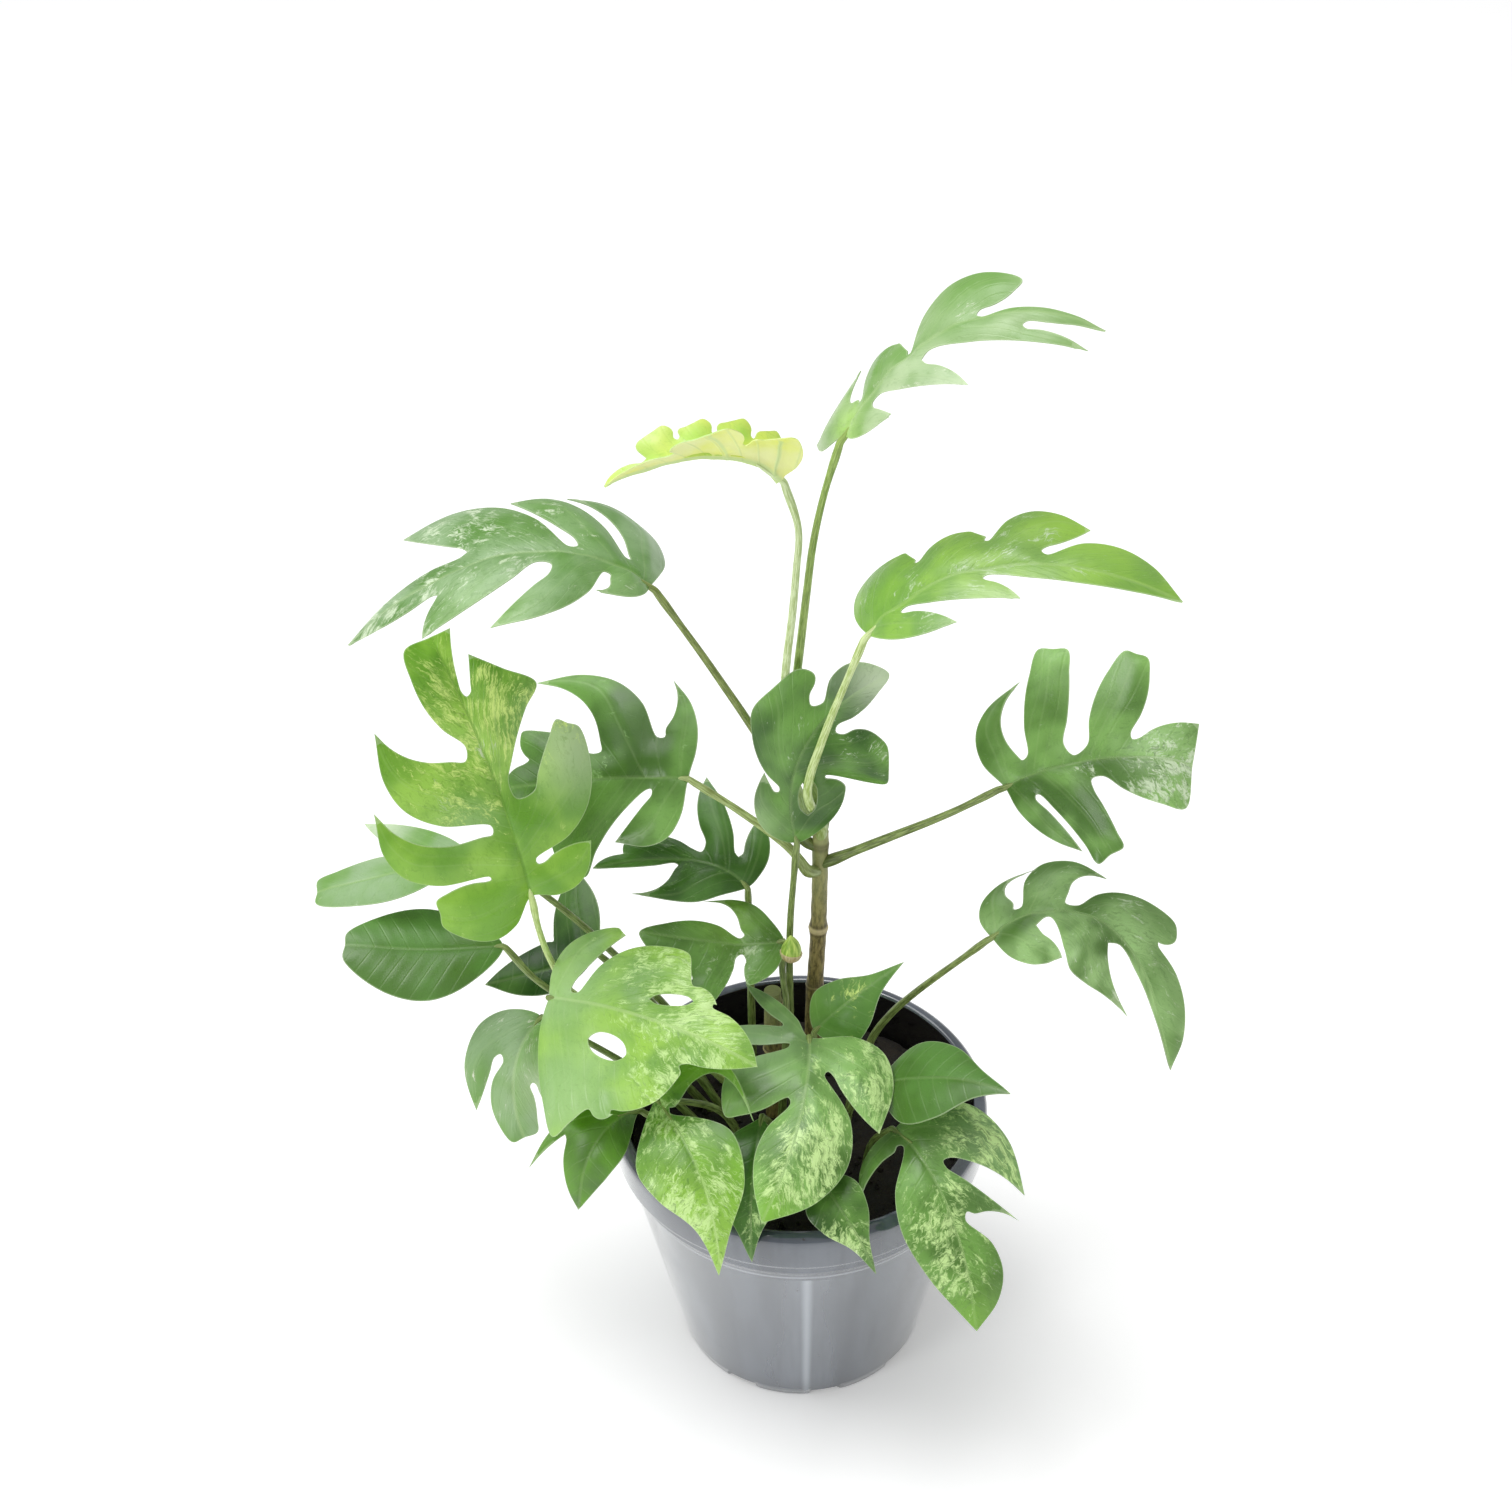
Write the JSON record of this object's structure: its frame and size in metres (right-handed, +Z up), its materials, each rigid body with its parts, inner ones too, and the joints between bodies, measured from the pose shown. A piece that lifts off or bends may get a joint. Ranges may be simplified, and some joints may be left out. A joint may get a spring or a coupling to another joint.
{
  "type": "potted mini monstera",
  "caption": "Young climbing aroid with deeply lobed, cream-marbled leaves on long stalks, growing in a plain round grey nursery pot.",
  "frame": {"origin": "centre of the round pad in the middle of the pot's underside, on the surface the pot stands on", "axes": "+Z up along the pot's axis; -Y towards the front, where the low leaves hang over the rim; +X to the right"},
  "size_m": [0.3278, 0.17, 0.4592],
  "materials": {
    "pot_plastic": "thin blow-moulded grey plastic, semi-gloss, faintly scuffed and dusty",
    "compost": "loose dark peat compost, matt and crumbly",
    "stem": "olive-brown living stem, satin, with ringed joints",
    "petiole": "smooth olive-green leaf stalk, satin, paler on the lit side",
    "leaf_variegated": "waxy semi-gloss leaf, mid green marbled with yellow-green and cream along the veins, paler beneath",
    "leaf_deep": "waxy semi-gloss leaf, dark green with sparse pale flecks, paler beneath",
    "leaf_new": "soft, thin, freshly opened leaf or bud, lime yellow and slightly translucent"
  },
  "bodies": {
    "root": {"pot": "pot_plastic", "soil": "compost", "bud": "leaf_new", "stem_main": "stem", "stem_stub": "stem", "stem_front": "stem", "leaf_crown": "leaf_variegated", "petiole_crown": "petiole", "leaf_new": "leaf_new", "petiole_new": "petiole", "leaf_upper_left": "leaf_variegated", "petiole_upper_left": "petiole", "leaf_upper_right": "leaf_variegated", "petiole_upper_right": "petiole", "leaf_back": "leaf_deep", "petiole_back": "petiole", "leaf_big_left": "leaf_variegated", "petiole_big_left": "petiole", "leaf_mid": "leaf_deep", "petiole_mid": "petiole", "leaf_centre_back": "leaf_deep", "petiole_centre_back": "petiole", "leaf_centre_front": "leaf_variegated", "petiole_centre_front": "petiole", "leaf_low_left": "leaf_variegated", "petiole_low_left": "petiole", "leaf_low_outer": "leaf_variegated", "petiole_low_outer": "petiole", "leaf_front_left": "leaf_variegated", "petiole_front_left": "petiole", "leaf_front_centre": "leaf_variegated", "petiole_front_centre": "petiole", "leaf_front_right": "leaf_variegated", "petiole_front_right": "petiole", "leaf_right_low": "leaf_deep", "petiole_right_low": "petiole", "leaf_right_up": "leaf_deep", "petiole_right_up": "petiole", "leaf_right_mid": "leaf_variegated", "petiole_right_mid": "petiole", "leaf_right_lower": "leaf_variegated", "petiole_right_lower": "petiole", "leaf_far_left": "leaf_variegated", "petiole_far_left": "petiole", "leaf_left_low": "leaf_deep", "petiole_left_low": "petiole", "leaf_shade_left": "leaf_deep", "petiole_shade_left": "petiole", "leaf_small_left": "leaf_variegated", "petiole_small_left": "petiole", "leaf_small_right": "leaf_variegated", "petiole_small_right": "petiole", "leaf_hanging_left": "leaf_variegated", "petiole_hanging_left": "petiole"}
  },
  "joints": []
}
